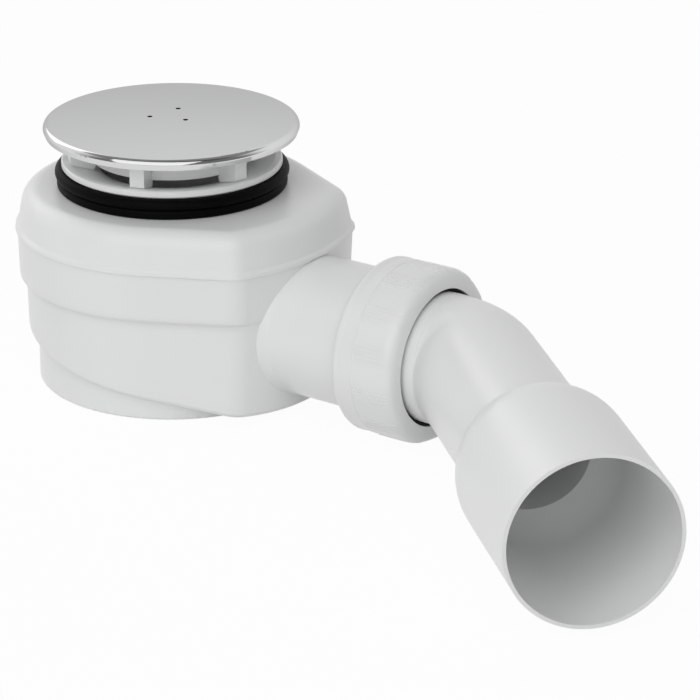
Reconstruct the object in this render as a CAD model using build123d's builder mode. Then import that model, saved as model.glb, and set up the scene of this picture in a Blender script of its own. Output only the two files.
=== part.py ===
"""Shower trap with a chrome cap, a D-shaped two-shell body, a union nut and an outlet elbow.

Units are millimetres and +Z is up. The origin is the centre of the foot on the floor.
The waste axis is Z, and the outlet leaves the bowed end of the body along +X.
"""

import os
from math import cos, pi, radians, sin, tan

from build123d import *

# Driving dimensions: body shells
WALL = 2.2
FLANK_ANGLE = 27.0
END_X = 54.6
END_BULGE = 7.4
END_DRAFT = 3.4
CORNER_RADIUS = 10.0
BODY_RADIUS = 47.8
TIER_STEP = 2.0
TIER_HEIGHT = 15.4
TIER_ROLL = 2.0
TUB_DRAFT = 1.2
FOOT_RADIUS = 42.3
FLOOR_HEIGHT = 10.5
FLOOR_SLOPE = 10.2
FLOOR_EDGE_RADIUS = 2.0
COVER_HEIGHT = 12.8
COVER_DRAFT = 10.5
SHOULDER_RADIUS = 5.5
LIP_HEIGHT = 1.8
LIP_DEPTH = 0.6
TONGUE_HEIGHT = 2.4
TONGUE_WALL = 1.4
COVER_NECK_LENGTH = 14.0
FOOT_EDGE_RADIUS = 1.0

# Driving dimensions: waste, gaskets and cap
NECK_RADIUS = 24.5
NECK_LENGTH = 22.0
FLANGE_RADIUS = 33.8
FLANGE_RIM_HEIGHT = 2.2
FLANGE_RIM_WIDTH = 2.2
FLANGE_EDGE = 0.5
BOWL_DEPTH = 2.6
FLANGE_CONE = 3.4
GASKET_SEAT_WIDTH = 3.2
GASKET_CLEARANCE = 0.45
GASKET_LAND = 0.4
GASKET_EDGE = 0.9
LOWER_GASKET_OVERHANG = 1.5
LOWER_GASKET_HEIGHT = 2.9
UPPER_GASKET_OVERHANG = 2.0
UPPER_GASKET_HEIGHT = 3.3
CAP_RADIUS = 39.1
CAP_SHEET = 1.0
CAP_SKIRT = 1.5
CAP_EDGE_RADIUS = 1.7
CAP_DOME = 1.7
CAP_GAP = 8.3
CAP_HOLE_CIRCLE = 6.6
CAP_HOLE_RADIUS = 0.8
CAP_HOLE_COUNT = 3
CAP_HOLE_START = -10.6
CARRIER_PLATE = 1.4
RIB_COUNT = 6
RIB_WIDTH = 4.5
RIB_START = -11.0
COLLAR_RADIUS = 24.5
COLLAR_HEIGHT = 8.3

# Driving dimensions: dip tube and cup
CUP_RADIUS = 34.0
WEIR_HEIGHT = 50.0
DIP_TUBE_RADIUS = 20.2
DIP_TUBE_WALL = 1.8
DIP_TUBE_FLOOR_GAP = 7.0
HEAD_HEIGHT = 5.0
RING_RADIUS = 0.85

# Driving dimensions: outlet
OUTLET_Z = 26.8
SPIGOT_RADIUS = 21.6
PIPE_RADIUS = 19.7
THREAD_RADIUS = 23.9
NUT_START = 78.8
NUT_LENGTH = 20.9
NUT_RADIUS = 26.5
NUT_RIM_RADIUS = 5.6
NUT_BAND = 7.0
NUT_BEAD = 2.0
NUT_GROOVE = 0.3
NUT_LIP = 4.4
RIB_GROUPS = 13
RIB_GROUP_START = 26.5
RIBS_PER_GROUP = 5
FINE_RIB_PITCH = 2.6
FINE_RIB_HEIGHT = 0.2
FINE_RIB_WIDTH = 0.6
FINE_RIB_ROOT = 0.5
FINE_RIB_FADE = 60.0
SEAL_LENGTH = 4.5
SEAL_COLLAR_INSET = 0.8

# Driving dimensions: elbow
ELBOW_ANGLE = 41.6
ELBOW_X = 110.7
ELBOW_WALL = 2.6
BEND_PIPE_RADIUS = 19.6
BEND_RADIUS = 20.5
INSERTION = 20.0
END_RADIUS = 25.0
END_LENGTH = 46.0
ELBOW_REACH = 125.7
TAPER_LENGTH = 14.0
WELT_RADIUS = 1.6

# Clearances
FIT = 0.3
SPIGOT_UNDER_RIM = 0.3

# Levels and places worked out from the driving dimensions
RIM_Z = OUTLET_Z + SPIGOT_RADIUS + SPIGOT_UNDER_RIM
STEP_Z = RIM_Z - TIER_HEIGHT
PLATEAU_Z = RIM_Z + COVER_HEIGHT
GASKET_JOINT_Z = PLATEAU_Z + LOWER_GASKET_HEIGHT
FLANGE_Z = GASKET_JOINT_Z + UPPER_GASKET_HEIGHT
FLANGE_TOP_Z = FLANGE_Z + FLANGE_RIM_HEIGHT
BOWL_RADIUS = FLANGE_RADIUS - FLANGE_RIM_WIDTH
SEAT_RADIUS = FLANGE_RADIUS - GASKET_SEAT_WIDTH
GASKET_BORE = (NECK_RADIUS + SEAT_RADIUS) / 2 + GASKET_CLEARANCE
LOWER_GASKET_RADIUS = FLANGE_RADIUS + LOWER_GASKET_OVERHANG
UPPER_GASKET_RADIUS = FLANGE_RADIUS + UPPER_GASKET_OVERHANG
NECK_BORE = NECK_RADIUS - WALL
NECK_END_Z = FLANGE_Z - NECK_LENGTH
LEDGE_Z = FLANGE_Z - NECK_LENGTH / 2
LEDGE_BORE = DIP_TUBE_RADIUS + FIT
SKIRT_Z = FLANGE_TOP_Z + CAP_GAP
CAP_BELLY_Z = SKIRT_Z + CAP_SKIRT
CAP_TOP_EDGE_Z = CAP_BELLY_Z + CAP_EDGE_RADIUS
CAP_DISC_RADIUS = CAP_RADIUS - CAP_EDGE_RADIUS
PLATE_TOP_Z = CAP_TOP_EDGE_Z - CAP_SHEET - FIT
PLATE_Z = PLATE_TOP_Z - CARRIER_PLATE
CUP_FLOOR_Z = WALL
HEAD_RADIUS = NECK_BORE - FIT
RING_GROOVE_RADIUS = HEAD_RADIUS - 2 * RING_RADIUS + FIT / 2
NUT_END = NUT_START + NUT_LENGTH
NUT_BORE = THREAD_RADIUS + FIT
NUT_MOUTH = NUT_RADIUS - NUT_RIM_RADIUS
RIB_ZONE_START = NUT_START + NUT_BAND + NUT_GROOVE
NUT_RIM_X = NUT_END - NUT_RIM_RADIUS
SEAL_FACE_X = NUT_END - NUT_LIP
SPIGOT_END = SEAL_FACE_X - SEAL_LENGTH
BEND_TANGENT = BEND_RADIUS * tan(radians(ELBOW_ANGLE / 2))
BEND_START = ELBOW_X - BEND_TANGENT
ELBOW_START = BEND_START - INSERTION
ELBOW_BORE = BEND_PIPE_RADIUS - ELBOW_WALL
TAPER_END = ELBOW_REACH - END_LENGTH
TAPER_START = TAPER_END - TAPER_LENGTH
OUTLET_AXIS = Axis((0, 0, OUTLET_Z), (1, 0, 0))
ELBOW_DIRECTION = Vector(cos(radians(ELBOW_ANGLE)), -sin(radians(ELBOW_ANGLE)), 0)
ELBOW_CORNER = Vector(ELBOW_X, 0, OUTLET_Z)


def body_section(height, back_radius, end_x):
    """Level section of the body: round back, two tangent flanks and a bowed outlet end."""
    flank = radians(FLANK_ANGLE)
    leave_x = back_radius * sin(flank)
    leave_y = back_radius * cos(flank)
    corner_x = end_x - END_BULGE
    corner_y = (back_radius - corner_x * sin(flank)) / cos(flank)
    with BuildSketch(Plane.XY.offset(height)) as section:
        Circle(back_radius)
        with BuildLine():
            ThreePointArc((corner_x, -corner_y), (end_x, 0), (corner_x, corner_y))
            Polyline((corner_x, corner_y), (leave_x, leave_y), (leave_x, -leave_y), (corner_x, -corner_y))
        make_face()
        fillet(section.vertices().group_by(Axis.X)[-1], CORNER_RADIUS)
    return section.sketch


def tub_section(height, inset=0.0, step=0.0):
    """Section of the tub's drafted wall; a step moves the back and flanks in, but not the end."""
    side = (RIM_Z - height) * tan(radians(TUB_DRAFT)) + inset + step
    end = (RIM_Z - height) * tan(radians(END_DRAFT)) + inset
    return body_section(height, BODY_RADIUS - side, END_X - end)


def cover_section(height, inset=0.0):
    """Section of the cover's leaning wall, moved inwards by an inset."""
    shrink = (height - RIM_Z) * tan(radians(COVER_DRAFT)) + inset
    return body_section(height, BODY_RADIUS - shrink, END_X - shrink)


def sloping_floor(lift):
    """Plane of the underside, which falls towards the outlet, raised by a lift."""
    slope = radians(FLOOR_SLOPE)
    return Plane(origin=(0, 0, FLOOR_HEIGHT + lift), x_dir=(0, 1, 0), z_dir=(sin(slope), 0, cos(slope)))


def bowl_height(radius):
    """Height of the flange's conical bowl at a radius."""
    return FLANGE_TOP_Z - BOWL_DEPTH * (BOWL_RADIUS - radius) / (BOWL_RADIUS - NECK_BORE)


def end_profile(plane, inset):
    """Half section of the elbow's wider end, with its rounded taper, moved inwards by an inset."""
    narrow = BEND_PIPE_RADIUS - inset
    wide = END_RADIUS - inset
    with BuildSketch(plane) as profile:
        with BuildLine():
            Line((TAPER_START, 0), (TAPER_START, narrow))
            TangentArc((TAPER_END, wide), (TAPER_START, narrow), tangent=(-1, 0))
            Polyline((TAPER_END, wide), (ELBOW_REACH, wide), (ELBOW_REACH, 0), (TAPER_START, 0))
        make_face()
    return profile.sketch


# Room inside the tub, above its sloping floor
with BuildPart() as tub_room:
    loft([tub_section(0, WALL, TIER_STEP), tub_section(RIM_Z, WALL, TIER_STEP)], ruled=True)
    split(bisect_by=sloping_floor(WALL), keep=Keep.TOP)

# Foot: round skirt that carries the sloping floor
with BuildPart() as foot:
    with BuildSketch() as foot_ring:
        Circle(FOOT_RADIUS)
        Circle(FOOT_RADIUS - WALL, mode=Mode.SUBTRACT)
    extrude(amount=STEP_Z)
    split(bisect_by=sloping_floor(WALL / 2), keep=Keep.BOTTOM)
    fillet(foot.faces().sort_by(Axis.Z)[0].outer_wire().edges(), FOOT_EDGE_RADIUS)

# Tub: lower shell with tiers, foot, cup and outlet spigot in one moulding
with BuildPart() as tub:
    loft([tub_section(0, 0, TIER_STEP), tub_section(STEP_Z, 0, TIER_STEP)], ruled=True)
    split(bisect_by=sloping_floor(0), keep=Keep.TOP)
    fillet(tub.faces().sort_by(Axis.Z)[0].edges(), FLOOR_EDGE_RADIUS)
    # Upper tier, whose lower end rolls inwards over the step
    roll_angles = [0, 30, 60, 90]
    roll_sections = []
    for roll in roll_angles:
        lift = TIER_ROLL * (1 - cos(radians(roll)))
        tuck = TIER_STEP / 2 * (1 - sin(radians(roll)))
        roll_sections.append(tub_section(STEP_Z + lift, 0, tuck))
    loft(roll_sections + [tub_section(RIM_Z)], ruled=True)
    add(tub_room.part, mode=Mode.SUBTRACT)
    # Tongue on the rim that centres the cover
    tongue_inset = WALL + FIT + TONGUE_HEIGHT * tan(radians(COVER_DRAFT))
    tongue_base = RIM_Z - TONGUE_HEIGHT
    extrude(
        body_section(tongue_base, BODY_RADIUS - tongue_inset, END_X - tongue_inset),
        amount=2 * TONGUE_HEIGHT,
    )
    tongue_inset += TONGUE_WALL
    extrude(
        body_section(tongue_base, BODY_RADIUS - tongue_inset, END_X - tongue_inset),
        amount=2 * TONGUE_HEIGHT,
        mode=Mode.SUBTRACT,
    )
    add(foot.part)
    # Cup that holds the water, with its rim as the weir
    with BuildSketch():
        Circle(CUP_RADIUS)
    extrude(amount=WEIR_HEIGHT)
    with BuildSketch(Plane.XY.offset(CUP_FLOOR_Z)):
        Circle(CUP_RADIUS - WALL)
    extrude(amount=RIM_Z, mode=Mode.SUBTRACT)
    # Outlet spigot with its threaded barrel and socket
    with BuildSketch(Plane.XZ) as spigot_profile:
        with BuildLine():
            Polyline(
                (END_X - WALL, OUTLET_Z),
                (END_X - WALL, OUTLET_Z + SPIGOT_RADIUS),
                (NUT_START + FIT, OUTLET_Z + SPIGOT_RADIUS),
                (NUT_START + FIT + THREAD_RADIUS - SPIGOT_RADIUS, OUTLET_Z + THREAD_RADIUS),
                (SPIGOT_END, OUTLET_Z + THREAD_RADIUS),
                (SPIGOT_END, OUTLET_Z),
                close=True,
            )
        make_face()
    revolve(axis=OUTLET_AXIS)
    with BuildSketch(Plane.XZ) as spigot_bore:
        with BuildLine():
            Polyline(
                (CUP_RADIUS + WALL, OUTLET_Z),
                (CUP_RADIUS + WALL, OUTLET_Z + SPIGOT_RADIUS - WALL),
                (ELBOW_START - FIT, OUTLET_Z + SPIGOT_RADIUS - WALL),
                (ELBOW_START - FIT, OUTLET_Z + PIPE_RADIUS + FIT),
                (SPIGOT_END, OUTLET_Z + PIPE_RADIUS + FIT),
                (SPIGOT_END, OUTLET_Z),
                close=True,
            )
        make_face()
    revolve(axis=OUTLET_AXIS, mode=Mode.SUBTRACT)
tub.part.label = "tub"

# Body cover: upper shell with a lip at the seam, a rounded shoulder and a neck for the waste
with BuildPart() as body_cover:
    loft([cover_section(RIM_Z), cover_section(PLATEAU_Z)], ruled=True)
    fillet(body_cover.faces().sort_by(Axis.Z)[-1].edges(), SHOULDER_RADIUS)
    loft(
        [
            cover_section(RIM_Z, -LIP_DEPTH),
            cover_section(RIM_Z + LIP_HEIGHT / 2, -LIP_DEPTH),
            cover_section(RIM_Z + LIP_HEIGHT),
        ],
        ruled=True,
    )
    loft([cover_section(RIM_Z, WALL), cover_section(PLATEAU_Z - WALL, WALL)], ruled=True, mode=Mode.SUBTRACT)
    with BuildSketch(Plane.XY.offset(PLATEAU_Z)):
        Circle(NECK_RADIUS + FIT + WALL)
    extrude(amount=-COVER_NECK_LENGTH)
    with BuildSketch(Plane.XY.offset(PLATEAU_Z)):
        Circle(NECK_RADIUS + FIT)
    extrude(amount=-COVER_HEIGHT - COVER_NECK_LENGTH, mode=Mode.SUBTRACT)
body_cover.part.label = "body_cover"

# Lower gasket: flat rubber ring on the cover's plateau
with BuildPart() as lower_gasket:
    with BuildSketch(Plane.XZ) as lower_ring:
        with Locations((GASKET_BORE, PLATEAU_Z)):
            Rectangle(LOWER_GASKET_RADIUS - GASKET_BORE, LOWER_GASKET_HEIGHT, align=(Align.MIN, Align.MIN))
        fillet(lower_ring.vertices().group_by(Axis.X)[-1], GASKET_EDGE)
    revolve(axis=Axis.Z)
lower_gasket.part.label = "lower_gasket"

# Upper gasket: rubber ring under the flange, with a swollen outer lip
with BuildPart() as upper_gasket:
    with BuildSketch(Plane.XZ):
        with BuildLine():
            bore_line = Polyline(
                (SEAT_RADIUS + FIT, FLANGE_Z),
                (GASKET_BORE, GASKET_JOINT_Z + GASKET_LAND),
                (GASKET_BORE, GASKET_JOINT_Z),
                (UPPER_GASKET_RADIUS - GASKET_EDGE, GASKET_JOINT_Z),
            )
            lip_arc = ThreePointArc(
                bore_line @ 1,
                (UPPER_GASKET_RADIUS, GASKET_JOINT_Z + UPPER_GASKET_HEIGHT / 3),
                (UPPER_GASKET_RADIUS - 2 * GASKET_EDGE, FLANGE_Z),
            )
            Line(lip_arc @ 1, bore_line @ 0)
        make_face()
    revolve(axis=Axis.Z)
upper_gasket.part.label = "upper_gasket"

# Waste flange: rim and conical bowl on a neck with a ledge for the dip tube
with BuildPart() as waste_flange:
    with BuildSketch(Plane.XZ):
        with BuildLine():
            Polyline(
                (NECK_RADIUS, NECK_END_Z),
                (NECK_RADIUS, FLANGE_Z - FLANGE_CONE),
                (SEAT_RADIUS, FLANGE_Z),
                (FLANGE_RADIUS - FLANGE_EDGE, FLANGE_Z),
                (FLANGE_RADIUS, FLANGE_Z + FLANGE_EDGE),
                (FLANGE_RADIUS, FLANGE_TOP_Z - FLANGE_EDGE),
                (FLANGE_RADIUS - FLANGE_EDGE, FLANGE_TOP_Z),
                (BOWL_RADIUS, FLANGE_TOP_Z),
                (NECK_BORE, FLANGE_TOP_Z - BOWL_DEPTH),
                (NECK_BORE, LEDGE_Z),
                (LEDGE_BORE, LEDGE_Z),
                (LEDGE_BORE, LEDGE_Z - WALL),
                (NECK_BORE, LEDGE_Z - 2 * WALL),
                (NECK_BORE, NECK_END_Z),
                close=True,
            )
        make_face()
    revolve(axis=Axis.Z)
waste_flange.part.label = "waste_flange"

# Dip tube: hangs by its head on the ledge and ends near the cup's floor
with BuildPart() as dip_tube:
    with BuildSketch(Plane.XZ) as tube_profile:
        with BuildLine():
            Polyline(
                (DIP_TUBE_RADIUS - DIP_TUBE_WALL, CUP_FLOOR_Z + DIP_TUBE_FLOOR_GAP),
                (DIP_TUBE_RADIUS, CUP_FLOOR_Z + DIP_TUBE_FLOOR_GAP),
                (DIP_TUBE_RADIUS, LEDGE_Z),
                (HEAD_RADIUS, LEDGE_Z),
                (HEAD_RADIUS, LEDGE_Z + HEAD_HEIGHT),
                (DIP_TUBE_RADIUS - DIP_TUBE_WALL, LEDGE_Z + HEAD_HEIGHT),
                close=True,
            )
        make_face()
        with Locations((RING_GROOVE_RADIUS, LEDGE_Z + HEAD_HEIGHT / 2)):
            Rectangle(
                2 * (HEAD_RADIUS - RING_GROOVE_RADIUS),
                2 * RING_RADIUS + FIT,
                align=(Align.MIN, Align.CENTER),
                mode=Mode.SUBTRACT,
            )
    revolve(axis=Axis.Z)
dip_tube.part.label = "dip_tube"

# Dip tube seal: O-ring in the groove of the head
with BuildPart() as dip_tube_seal:
    with BuildSketch(Plane.XZ):
        with Locations((RING_GROOVE_RADIUS + RING_RADIUS + FIT / 6, LEDGE_Z + HEAD_HEIGHT / 2)):
            Circle(RING_RADIUS)
    revolve(axis=Axis.Z)
dip_tube_seal.part.label = "dip_tube_seal"

# One rib of the cap carrier, standing on the bowl
with BuildPart() as carrier_rib:
    with BuildSketch(Plane.XZ):
        with BuildLine():
            Polyline(
                (COLLAR_RADIUS - WALL / 2, PLATE_Z - COLLAR_HEIGHT),
                (NECK_BORE + WALL, bowl_height(NECK_BORE + WALL) + FIT / 2),
                (BOWL_RADIUS, FLANGE_TOP_Z + FIT / 2),
                (BOWL_RADIUS, PLATE_Z + CARRIER_PLATE / 2),
                (COLLAR_RADIUS - WALL / 2, PLATE_Z + CARRIER_PLATE / 2),
                close=True,
            )
        make_face()
    extrude(amount=RIB_WIDTH / 2, both=True)

# Cap carrier: plate under the cap with a collar and six ribs
with BuildPart() as cap_carrier:
    with BuildSketch(Plane.XY.offset(PLATE_Z)):
        Circle(CAP_DISC_RADIUS - CAP_SHEET)
    extrude(amount=CARRIER_PLATE)
    with BuildSketch(Plane.XY.offset(PLATE_Z)):
        Circle(COLLAR_RADIUS)
        Circle(COLLAR_RADIUS - WALL, mode=Mode.SUBTRACT)
    extrude(amount=-COLLAR_HEIGHT)
    for turn in range(RIB_COUNT):
        add(carrier_rib.part.rotate(Axis.Z, RIB_START + turn * 360 / RIB_COUNT))
cap_carrier.part.label = "cap_carrier"

# Cover cap: domed sheet with a rolled edge, a short skirt and three small holes
with BuildPart() as cover_cap:
    with BuildSketch(Plane.XZ):
        with BuildLine():
            dome = TangentArc(
                (0, CAP_TOP_EDGE_Z + CAP_DOME), (CAP_DISC_RADIUS, CAP_TOP_EDGE_Z), tangent=(1, 0)
            )
            bulge = CAP_EDGE_RADIUS * sin(pi / 4)
            edge = ThreePointArc(
                dome @ 1,
                (CAP_DISC_RADIUS + bulge, CAP_BELLY_Z + bulge),
                (CAP_RADIUS, CAP_BELLY_Z),
            )
            inner_radius = CAP_EDGE_RADIUS - CAP_SHEET
            inner_bulge = inner_radius * sin(pi / 4)
            skirt = Polyline(
                edge @ 1,
                (CAP_RADIUS - CAP_SHEET / 2, SKIRT_Z),
                (CAP_RADIUS - 1.5 * CAP_SHEET, SKIRT_Z),
                (CAP_RADIUS - CAP_SHEET, CAP_BELLY_Z),
            )
            inner_edge = ThreePointArc(
                skirt @ 1,
                (CAP_DISC_RADIUS + inner_bulge, CAP_BELLY_Z + inner_bulge),
                (CAP_DISC_RADIUS, CAP_BELLY_Z + inner_radius),
            )
            inner_dome = TangentArc(
                (0, CAP_TOP_EDGE_Z + CAP_DOME - CAP_SHEET), inner_edge @ 1, tangent=(1, 0)
            )
            Line(inner_dome @ 0, dome @ 0)
        make_face()
    revolve(axis=Axis.Z)
    with BuildSketch(Plane.XY.offset(CAP_BELLY_Z)):
        with PolarLocations(CAP_HOLE_CIRCLE, CAP_HOLE_COUNT, start_angle=CAP_HOLE_START):
            Circle(CAP_HOLE_RADIUS)
    extrude(amount=2 * (CAP_EDGE_RADIUS + CAP_DOME), mode=Mode.SUBTRACT)
cover_cap.part.label = "cover_cap"

# Outlet seal: rubber ring between the spigot's end and the nut's lip, with a collar in the nut's mouth
with BuildPart() as outlet_seal:
    with BuildSketch(Plane.XZ):
        with BuildLine():
            Polyline(
                (SPIGOT_END, OUTLET_Z + PIPE_RADIUS + FIT),
                (SPIGOT_END, OUTLET_Z + THREAD_RADIUS),
                (SEAL_FACE_X - FIT, OUTLET_Z + THREAD_RADIUS),
                (SEAL_FACE_X - FIT, OUTLET_Z + NUT_MOUTH - FIT),
                (NUT_END - SEAL_COLLAR_INSET, OUTLET_Z + NUT_MOUTH - FIT),
                (NUT_END - SEAL_COLLAR_INSET, OUTLET_Z + PIPE_RADIUS + FIT),
                close=True,
            )
        make_face()
    revolve(axis=OUTLET_AXIS)
outlet_seal.part.label = "outlet_seal"

# Grip ribs: groups of fine ribs along the nut that fade out over its rounded rim
with BuildPart() as grip_ribs:
    with BuildSketch(Plane.XZ):
        with BuildLine():
            crest_z = OUTLET_Z + NUT_RADIUS + FINE_RIB_HEIGHT
            root_z = OUTLET_Z + NUT_RADIUS - FINE_RIB_ROOT
            root_radius = NUT_RIM_RADIUS - FINE_RIB_ROOT
            fade = radians(FINE_RIB_FADE)
            crest = Line((RIB_ZONE_START, crest_z), (NUT_RIM_X, crest_z))
            fade_arc = TangentArc(
                crest @ 1,
                (NUT_RIM_X + NUT_RIM_RADIUS * sin(fade), OUTLET_Z + NUT_MOUTH + NUT_RIM_RADIUS * cos(fade)),
                tangent=(1, 0),
            )
            root_arc = TangentArc(
                (NUT_RIM_X, root_z),
                (NUT_RIM_X + root_radius * sin(fade), OUTLET_Z + NUT_MOUTH + root_radius * cos(fade)),
                tangent=(1, 0),
            )
            Line(fade_arc @ 1, root_arc @ 1)
            Polyline(root_arc @ 0, (RIB_ZONE_START, root_z), crest @ 0)
        make_face()
    revolve(axis=OUTLET_AXIS)
    with BuildSketch(Plane.YZ.offset(RIB_ZONE_START)):
        for group in range(RIB_GROUPS):
            for rib in range(RIBS_PER_GROUP):
                group_turn = RIB_GROUP_START + group * 360 / RIB_GROUPS
                turn = group_turn + (rib - (RIBS_PER_GROUP - 1) / 2) * FINE_RIB_PITCH
                rib_y = NUT_RADIUS * cos(radians(turn))
                rib_z = OUTLET_Z + NUT_RADIUS * sin(radians(turn))
                with Locations(Location((rib_y, rib_z), turn)):
                    Rectangle(2 * NUT_RIM_RADIUS, FINE_RIB_WIDTH)
    extrude(amount=NUT_LENGTH, mode=Mode.INTERSECT)

# Outlet nut: rounded rim and plain bead, with the grip ribs
with BuildPart() as outlet_nut:
    with BuildSketch(Plane.XZ):
        with BuildLine():
            outside = Polyline(
                (NUT_START, OUTLET_Z + NUT_BORE),
                (NUT_START, OUTLET_Z + NUT_RADIUS - NUT_BEAD / 3),
                (NUT_START + NUT_BEAD / 4, OUTLET_Z + NUT_RADIUS - NUT_BEAD / 8),
                (NUT_START + NUT_BEAD / 2, OUTLET_Z + NUT_RADIUS),
                (NUT_START + NUT_BEAD, OUTLET_Z + NUT_RADIUS),
                (NUT_START + 1.25 * NUT_BEAD, OUTLET_Z + NUT_RADIUS - NUT_GROOVE / 2),
                (NUT_START + NUT_BAND - NUT_GROOVE, OUTLET_Z + NUT_RADIUS),
                (NUT_START + NUT_BAND, OUTLET_Z + NUT_RADIUS - NUT_GROOVE),
                (NUT_START + NUT_BAND + NUT_GROOVE, OUTLET_Z + NUT_RADIUS),
                (NUT_RIM_X, OUTLET_Z + NUT_RADIUS),
            )
            rim_step = NUT_RIM_RADIUS * (1 - sin(pi / 4))
            rim = ThreePointArc(
                outside @ 1,
                (NUT_END - rim_step, OUTLET_Z + NUT_RADIUS - rim_step),
                (NUT_END, OUTLET_Z + NUT_MOUTH),
            )
            Polyline(
                rim @ 1,
                (SEAL_FACE_X, OUTLET_Z + NUT_MOUTH),
                (SEAL_FACE_X, OUTLET_Z + NUT_BORE),
                outside @ 0,
            )
        make_face()
    revolve(axis=OUTLET_AXIS)
    add(grip_ribs.part)
outlet_nut.part.label = "outlet_nut"

# Centre line of the elbow up to its wider end
with BuildLine() as bend_path:
    FilletPolyline(
        (ELBOW_START, 0, OUTLET_Z),
        ELBOW_CORNER,
        ELBOW_CORNER + ELBOW_DIRECTION * TAPER_END,
        radius=BEND_RADIUS,
    )

# Outlet elbow: plain end in the nut, tight bend and a taper to the wider plain end
with BuildPart() as outlet_elbow:
    with BuildSketch(Plane.YZ.offset(ELBOW_START)):
        with Locations((0, OUTLET_Z)):
            Circle(PIPE_RADIUS)
    extrude(amount=INSERTION)
    with BuildSketch(Plane.YZ.offset(ELBOW_START)):
        with Locations((0, OUTLET_Z)):
            Circle(BEND_PIPE_RADIUS)
    sweep(path=bend_path.wires()[0])
    end_plane = Plane(ELBOW_CORNER, x_dir=ELBOW_DIRECTION, z_dir=ELBOW_DIRECTION.cross(Vector(0, 0, 1)))
    end_axis = Axis(ELBOW_CORNER, ELBOW_DIRECTION)
    revolve(end_profile(end_plane, 0), axis=end_axis)
    # Welt at the start of the taper, on the outer side of the bend
    welt_middle = ELBOW_CORNER - end_plane.z_dir * WELT_RADIUS
    with BuildSketch(Plane(welt_middle, x_dir=ELBOW_DIRECTION, z_dir=end_plane.z_dir)):
        with Locations((TAPER_START, BEND_PIPE_RADIUS - WELT_RADIUS)):
            Circle(WELT_RADIUS)
    revolve(axis=Axis(welt_middle, ELBOW_DIRECTION))
    with BuildSketch(Plane.YZ.offset(ELBOW_START)):
        with Locations((0, OUTLET_Z)):
            Circle(ELBOW_BORE)
    sweep(path=bend_path.wires()[0], mode=Mode.SUBTRACT)
    revolve(end_profile(end_plane, ELBOW_WALL), axis=end_axis, mode=Mode.SUBTRACT)
outlet_elbow.part.label = "outlet_elbow"

# Write each piece to its own file
os.makedirs("parts", exist_ok=True)
export_step(cover_cap.part, "parts/cover_cap.step")
export_step(cap_carrier.part, "parts/cap_carrier.step")
export_step(waste_flange.part, "parts/waste_flange.step")
export_step(upper_gasket.part, "parts/upper_gasket.step")
export_step(lower_gasket.part, "parts/lower_gasket.step")
export_step(body_cover.part, "parts/body_cover.step")
export_step(tub.part, "parts/tub.step")
export_step(dip_tube.part, "parts/dip_tube.step")
export_step(dip_tube_seal.part, "parts/dip_tube_seal.step")
export_step(outlet_nut.part, "parts/outlet_nut.step")
export_step(outlet_seal.part, "parts/outlet_seal.step")
export_step(outlet_elbow.part, "parts/outlet_elbow.step")
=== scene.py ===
import math

import bmesh
import bpy
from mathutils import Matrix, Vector


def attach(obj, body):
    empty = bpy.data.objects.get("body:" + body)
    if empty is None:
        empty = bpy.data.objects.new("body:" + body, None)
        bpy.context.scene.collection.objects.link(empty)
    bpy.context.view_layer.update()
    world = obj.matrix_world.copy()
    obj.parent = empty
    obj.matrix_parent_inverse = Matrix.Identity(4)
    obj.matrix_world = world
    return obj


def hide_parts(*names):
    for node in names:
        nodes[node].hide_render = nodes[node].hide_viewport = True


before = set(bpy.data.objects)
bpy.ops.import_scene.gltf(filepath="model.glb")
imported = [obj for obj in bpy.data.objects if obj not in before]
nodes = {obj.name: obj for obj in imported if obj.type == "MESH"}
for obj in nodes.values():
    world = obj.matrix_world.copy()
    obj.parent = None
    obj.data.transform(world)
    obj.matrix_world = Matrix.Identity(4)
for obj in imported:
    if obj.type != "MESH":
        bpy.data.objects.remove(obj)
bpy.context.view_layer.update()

# Tub: the lower shell of the trap, with its stepped wall, round foot and outlet spigot.
# It is one injection moulding in white polypropylene, with the faint grain of the mould's steel.
# The upper shell is welded on to its rim.


def moulded_surface_group():
    """Node group: soft clouds in the gloss and a fine grain, as mask, roughness and height."""
    group = bpy.data.node_groups.new("moulded_surface", "ShaderNodeTree")
    new_socket = group.interface.new_socket
    for socket in ("Cloud Scale", "Grain Scale", "Gloss", "Spread"):
        new_socket(name=socket, in_out="INPUT", socket_type="NodeSocketFloat")
    for socket in ("Cloud", "Roughness", "Height"):
        new_socket(name=socket, in_out="OUTPUT", socket_type="NodeSocketFloat")
    tree, link = group.nodes, group.links.new
    entry = tree.new("NodeGroupInput")
    leave = tree.new("NodeGroupOutput")
    place = tree.new("ShaderNodeTexCoord")
    cloud = tree.new("ShaderNodeTexNoise")
    grain = tree.new("ShaderNodeTexNoise")
    link(place.outputs["Object"], cloud.inputs["Vector"])
    link(place.outputs["Object"], grain.inputs["Vector"])
    link(entry.outputs["Cloud Scale"], cloud.inputs["Scale"])
    link(entry.outputs["Grain Scale"], grain.inputs["Scale"])
    gloss = tree.new("ShaderNodeMath")
    gloss.operation = "MULTIPLY_ADD"
    link(cloud.outputs["Fac"], gloss.inputs[0])
    link(entry.outputs["Spread"], gloss.inputs[1])
    link(entry.outputs["Gloss"], gloss.inputs[2])
    link(cloud.outputs["Fac"], leave.inputs["Cloud"])
    link(gloss.outputs["Value"], leave.inputs["Roughness"])
    link(grain.outputs["Fac"], leave.inputs["Height"])
    return group


moulded_surface = moulded_surface_group()


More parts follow.
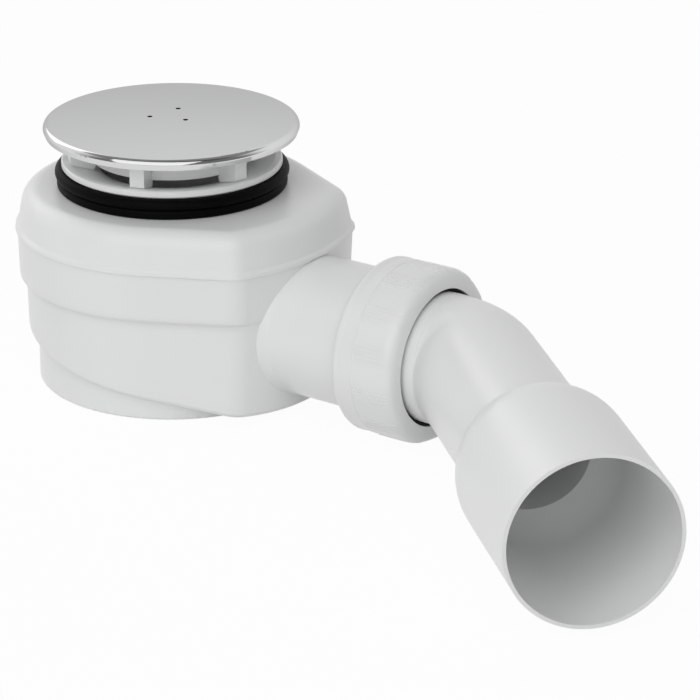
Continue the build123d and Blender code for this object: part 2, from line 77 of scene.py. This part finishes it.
def finish_material(
    name, dark, light, values, grain_strength, grain_depth, metallic=0.0, specular=0.5, edge_tint=1.0
):
    """Material with two close colours and the moulded surface's gloss and grain."""
    material = bpy.data.materials.new(name)
    material.use_nodes = True
    tree, link = material.node_tree.nodes, material.node_tree.links.new
    shader = tree["Principled BSDF"]
    shader.inputs["Metallic"].default_value = metallic
    shader.inputs["Specular IOR Level"].default_value = specular
    shader.inputs["Specular Tint"].default_value = (edge_tint, edge_tint, edge_tint, 1.0)
    surface = tree.new("ShaderNodeGroup")
    surface.node_tree = moulded_surface
    for socket, value in values.items():
        surface.inputs[socket].default_value = value
    colour = tree.new("ShaderNodeMix")
    colour.data_type = "RGBA"
    colour.inputs["A"].default_value = (*dark, 1.0)
    colour.inputs["B"].default_value = (*light, 1.0)
    link(surface.outputs["Cloud"], colour.inputs["Factor"])
    link(colour.outputs["Result"], shader.inputs["Base Color"])
    link(surface.outputs["Roughness"], shader.inputs["Roughness"])
    relief = tree.new("ShaderNodeBump")
    relief.inputs["Strength"].default_value = grain_strength
    relief.inputs["Distance"].default_value = grain_depth
    link(surface.outputs["Height"], relief.inputs["Height"])
    link(relief.outputs["Normal"], shader.inputs["Normal"])
    return material


def dress(node, material):
    """Gives a CAD node its material."""
    mesh = nodes[node].data
    mesh.materials.clear()
    mesh.materials.append(material)


white_moulding = finish_material(
    "white_moulding",
    dark=(0.835, 0.845, 0.842),
    light=(0.865, 0.875, 0.872),
    values={"Cloud Scale": 35.0, "Grain Scale": 2200.0, "Gloss": 0.26, "Spread": 0.1},
    grain_strength=0.05,
    grain_depth=0.0002,
)
dress("tub", white_moulding)

# Spigot root: the collar of the tub's moulding where the spigot runs into the bowed end wall.
# It is one with the tub, in the same white polypropylene, and closes the wall round the spigot.
outlet_height = 0.0268
root_start, root_cone, root_end = 0.0455, 0.0500, 0.05242
root_bore, root_foot, root_neck = 0.01945, 0.0224, 0.0216
root_steps = 128
root_crease = math.radians(35.0)
merge_distance = 1e-6
root_shape = bmesh.new()
root_corners = [
    root_shape.verts.new((along, 0.0, outlet_height + radius))
    for along, radius in (
        (root_start, root_bore),
        (root_start, root_foot),
        (root_cone, root_foot),
        (root_end, root_neck),
        (root_end, root_bore),
    )
]
root_edges = [
    root_shape.edges.new(pair) for pair in zip(root_corners, root_corners[1:] + root_corners[:1])
]
bmesh.ops.spin(
    root_shape,
    geom=root_corners + root_edges,
    cent=(0.0, 0.0, outlet_height),
    axis=(1.0, 0.0, 0.0),
    angle=2.0 * math.pi,
    steps=root_steps,
    use_merge=True,
)
bmesh.ops.remove_doubles(root_shape, verts=root_shape.verts[:], dist=merge_distance)
bmesh.ops.recalc_face_normals(root_shape, faces=root_shape.faces[:])
for face in root_shape.faces:
    face.smooth = True
root_mesh = bpy.data.meshes.new("spigot_root")
root_shape.to_mesh(root_mesh)
root_shape.free()
root_mesh.set_sharp_from_angle(angle=root_crease)
root_mesh.materials.append(white_moulding)
spigot_root = bpy.data.objects.new("spigot_root", root_mesh)
bpy.context.scene.collection.objects.link(spigot_root)
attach(spigot_root, "trap")

# Body cover: the upper shell, with a lip over the seam and a rounded shoulder up to the plateau.
# It is moulded in the same white polypropylene and welded to the tub's rim.
dress("body_cover", white_moulding)

# Gaskets: two rings of black rubber, one on the plateau and one under the waste flange.
# They are moulded, with a dull skin, and the flange squeezes the shower tray between them.
black_rubber = finish_material(
    "black_rubber",
    dark=(0.0012, 0.0012, 0.0014),
    light=(0.003, 0.003, 0.0033),
    values={"Cloud Scale": 90.0, "Grain Scale": 3000.0, "Gloss": 0.4, "Spread": 0.16},
    grain_strength=0.12,
    grain_depth=0.0002,
    specular=0.05,
)
dress("lower_gasket", black_rubber)
dress("upper_gasket", black_rubber)

# Waste flange: the white ring with a conical bowl that holds the tray from above.
# It is moulded in one with the neck, which goes down through the gaskets into the trap.
dress("waste_flange", white_moulding)

# Dip tube: the white moulded tube that hangs in the neck and makes the water seal.
# A black rubber O-ring in the groove of its head seals it, and it lifts out for cleaning.
dress("dip_tube", white_moulding)
dress("dip_tube_seal", black_rubber)

# Cap carrier: the white moulded plate with a collar and six ribs that stand on the bowl.
# It holds the cap above the flange, so that the water runs in between the ribs.
dress("cap_carrier", white_moulding)

# Cover cap: a slightly domed disc of pressed sheet metal with a rolled edge and three small holes.
# It is chrome plated with a satin polish, and clipped on to the carrier.
satin_chrome = finish_material(
    "satin_chrome",
    dark=(0.645, 0.65, 0.652),
    light=(0.675, 0.68, 0.682),
    values={"Cloud Scale": 25.0, "Grain Scale": 4000.0, "Gloss": 0.07, "Spread": 0.05},
    grain_strength=0.01,
    grain_depth=0.0001,
    metallic=1.0,
    edge_tint=0.6,
)
dress("cover_cap", satin_chrome)

# Outlet nut: the white moulded union nut with groups of fine grip ribs round its barrel.
# It is screwed by hand on to the thread of the tub's spigot.
# Its rim is flatter in front than a plain round, with a tighter outer corner.
crease_angle = math.radians(28.0)
step_slack = 1e-4


def reshaped_piece(name, node, body, move, step_x):
    """Merged copy of a CAD node with some points moved, smooth up to its creases and one step."""
    shape = bmesh.new()
    shape.from_mesh(nodes[node].data)
    bmesh.ops.remove_doubles(shape, verts=shape.verts[:], dist=merge_distance)
    for vert in shape.verts:
        move(vert)
    shape.normal_update()
    for face in shape.faces:
        face.smooth = True
    for edge in shape.edges:
        at_step = all(abs(vert.co.x - step_x) < step_slack for vert in edge.verts)
        edge.smooth = edge.calc_face_angle(0.0) < crease_angle and not at_step
    mesh = bpy.data.meshes.new(name)
    shape.to_mesh(mesh)
    shape.free()
    mesh.materials.append(white_moulding)
    piece = bpy.data.objects.new(name, mesh)
    bpy.context.scene.collection.objects.link(piece)
    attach(piece, body)
    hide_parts(node)


nut_end, nut_mouth, nut_rim = 0.0997, 0.0209, 0.0056
rim_start = nut_end - nut_rim
rim_power = 3.4
rim_margin = 0.02


def flatten_rim(vert):
    """Moves a point of the nut's round rim out towards a squarer corner."""
    across = Vector((0.0, vert.co.y, vert.co.z - outlet_height))
    forward = (vert.co.x - rim_start) / nut_rim
    outward = (across.length - nut_mouth) / nut_rim
    if forward > rim_margin and outward > rim_margin:
        reach = math.hypot(forward, outward)
        side, front = outward / reach, forward / reach
        square = (side**rim_power + front**rim_power) ** (-1.0 / rim_power)
        vert.co.x += (square - 1.0) * forward * nut_rim
        radius = nut_mouth + square * outward * nut_rim
        vert.co.y = across.y / across.length * radius
        vert.co.z = outlet_height + across.z / across.length * radius


reshaped_piece("union_nut", "outlet_nut", "nut", flatten_rim, rim_start)

# Outlet seal: the black rubber ring between the spigot's end and the nut's lip.
# The nut presses it on to the elbow, and its collar shows in the nut's mouth.
dress("outlet_seal", black_rubber)

# Outlet elbow: the white moulded bend with a wider plain end for the waste pipe.
# It is pushed into the spigot through the seal, and swivels until the nut is tight.
# Its wall thins out towards the mouth, where the inside opens into a slight cone.
elbow_corner = Vector((0.1107, 0.0, outlet_height))
elbow_turn = math.radians(-41.6)
elbow_way = Vector((math.cos(elbow_turn), math.sin(elbow_turn), 0.0))
elbow_step = 0.1029
mouth_distance, mouth_bore, mouth_radius = 0.1257, 0.0224, 0.0239
along_slack, bore_slack = 1e-4, 2e-4


def open_mouth(vert):
    """Moves the inner edge of the elbow's mouth outwards."""
    along = (vert.co - elbow_corner).dot(elbow_way)
    foot = elbow_corner + elbow_way * along
    radius = (vert.co - foot).length
    if abs(along - mouth_distance) < along_slack and abs(radius - mouth_bore) < bore_slack:
        vert.co = foot + (vert.co - foot) * (mouth_radius / radius)


reshaped_piece("elbow_bend", "outlet_elbow", "elbow", open_mouth, elbow_step)

# Stage: a plain white floor under the part.
# It shows as clean background to the camera and in reflections, and keeps a faint shadow.
floor_half, floor_drop = 4.0, 0.0004
floor_clean_share = 0.96
floor_shape = bmesh.new()
bmesh.ops.create_grid(floor_shape, x_segments=1, y_segments=1, size=floor_half)
floor_mesh = bpy.data.meshes.new("floor")
floor_shape.to_mesh(floor_mesh)
floor_shape.free()
floor = bpy.data.objects.new("floor", floor_mesh)
bpy.context.scene.collection.objects.link(floor)
floor.location.z = -floor_drop


def math_node(tree, link, operation, first, second):
    """Math node that joins two sockets."""
    node = tree.new("ShaderNodeMath")
    node.operation = operation
    link(first, node.inputs[0])
    link(second, node.inputs[1])
    return node.outputs["Value"]


def background_rays(tree, link):
    """Light Path's camera, glossy and transmission rays as one factor."""
    rays = tree.new("ShaderNodeLightPath").outputs
    seen = math_node(tree, link, "MAXIMUM", rays["Is Camera Ray"], rays["Is Glossy Ray"])
    return math_node(tree, link, "MAXIMUM", seen, rays["Is Transmission Ray"])


floor_material = bpy.data.materials.new("floor_white")
floor_material.use_nodes = True
tree, link = floor_material.node_tree.nodes, floor_material.node_tree.links.new
floor_shader = tree["Principled BSDF"]
floor_shader.inputs["Base Color"].default_value = (0.82, 0.82, 0.82, 1.0)
floor_shader.inputs["Roughness"].default_value = 0.9
floor_glow = tree.new("ShaderNodeEmission")
floor_glow.inputs["Strength"].default_value = 1.0
share = tree.new("ShaderNodeMath")
share.operation = "MULTIPLY"
share.inputs[1].default_value = floor_clean_share
link(background_rays(tree, link), share.inputs[0])
floor_mix = tree.new("ShaderNodeMixShader")
link(share.outputs["Value"], floor_mix.inputs["Fac"])
link(floor_shader.outputs["BSDF"], floor_mix.inputs[1])
link(floor_glow.outputs["Emission"], floor_mix.inputs[2])
link(floor_mix.outputs["Shader"], tree["Material Output"].inputs["Surface"])
floor_mesh.materials.append(floor_material)

# Light: an even pale room, stronger on the left, and a white sweep behind the part for reflections.
# The sweep is greyer overhead and in front, where the camera stands.
# Two soft boxes add to it, a large one to the left of the camera and a weak one at the side.
white = (1.0, 1.0, 1.0, 1.0)
away_from_camera = (-0.58, 0.81, 0.0)


def ramp_node(tree, interpolation, start, end, low, high):
    """Map Range node that goes from low to high between start and end."""
    ramp = tree.new("ShaderNodeMapRange")
    ramp.interpolation_type = interpolation
    ramp.inputs["From Min"].default_value = start
    ramp.inputs["From Max"].default_value = end
    ramp.inputs["To Min"].default_value = low
    ramp.inputs["To Max"].default_value = high
    return ramp


world = bpy.data.worlds.new("studio")
bpy.context.scene.world = world
world.use_nodes = True
tree, link = world.node_tree.nodes, world.node_tree.links.new
direction = tree.new("ShaderNodeTexCoord").outputs["Generated"]
parts = tree.new("ShaderNodeSeparateXYZ")
link(direction, parts.inputs["Vector"])

room = tree["Background"]
room.inputs["Color"].default_value = white
sides = ramp_node(tree, "LINEAR", start=-1.0, end=1.0, low=0.52, high=0.33)
link(parts.outputs["X"], sides.inputs["Value"])
link(sides.outputs["Result"], room.inputs["Strength"])

sweep = tree.new("ShaderNodeBackground")
sweep.inputs["Color"].default_value = white
ceiling = ramp_node(tree, "SMOOTHSTEP", start=0.66, end=0.8, low=1.0, high=0.3)
link(parts.outputs["Z"], ceiling.inputs["Value"])
behind = tree.new("ShaderNodeVectorMath")
behind.operation = "DOT_PRODUCT"
behind.inputs[1].default_value = away_from_camera
link(direction, behind.inputs[0])
front = ramp_node(tree, "SMOOTHSTEP", start=-0.4, end=0.2, low=0.2, high=1.0)
link(behind.outputs["Value"], front.inputs["Value"])
mirrored = math_node(tree, link, "MULTIPLY", ceiling.outputs["Result"], front.outputs["Result"])
camera_ray = tree.new("ShaderNodeLightPath").outputs["Is Camera Ray"]
link(math_node(tree, link, "MAXIMUM", mirrored, camera_ray), sweep.inputs["Strength"])

surroundings = tree.new("ShaderNodeMixShader")
link(background_rays(tree, link), surroundings.inputs["Fac"])
link(room.outputs["Background"], surroundings.inputs[1])
link(sweep.outputs["Background"], surroundings.inputs[2])
link(surroundings.outputs["Shader"], tree["World Output"].inputs["Surface"])


def soft_box(name, place, target, size, power):
    """Square area light that points at a target."""
    lamp = bpy.data.lights.new(name, "AREA")
    lamp.size = size
    lamp.energy = power
    box = bpy.data.objects.new(name, lamp)
    bpy.context.scene.collection.objects.link(box)
    box.location = place
    box.rotation_mode = "QUATERNION"
    box.rotation_quaternion = (Vector(target) - Vector(place)).to_track_quat("-Z", "Y")


soft_box("key_box", place=(0.5, -1.38, 1.1), target=(0.06, 0.0, 0.04), size=2.3, power=18.5)
soft_box("side_box", place=(-1.6, 0.4, 1.1), target=(0.05, 0.0, 0.04), size=1.2, power=4.0)

# Camera: at the photograph's viewing angle, with its long lens.
# Place, angles and lens come from fitting the part's outlines to the photograph.
camera_turn, camera_drop = math.radians(35.55), math.radians(21.76)
camera_data = bpy.data.cameras.new("camera")
camera_data.sensor_width = 36.0
camera_data.lens = 179.556
camera_data.clip_start = 0.05
camera_data.clip_end = 50.0
camera = bpy.data.objects.new("camera", camera_data)
bpy.context.scene.collection.objects.link(camera)
camera.location = (0.63268, -0.79188, 0.41009)
look = Vector(
    (
        -math.sin(camera_turn) * math.cos(camera_drop),
        math.cos(camera_turn) * math.cos(camera_drop),
        -math.sin(camera_drop),
    )
)
camera.rotation_mode = "QUATERNION"
camera.rotation_quaternion = look.to_track_quat("-Z", "Y")
bpy.context.scene.camera = camera
bpy.context.scene.view_settings.view_transform = "Standard"
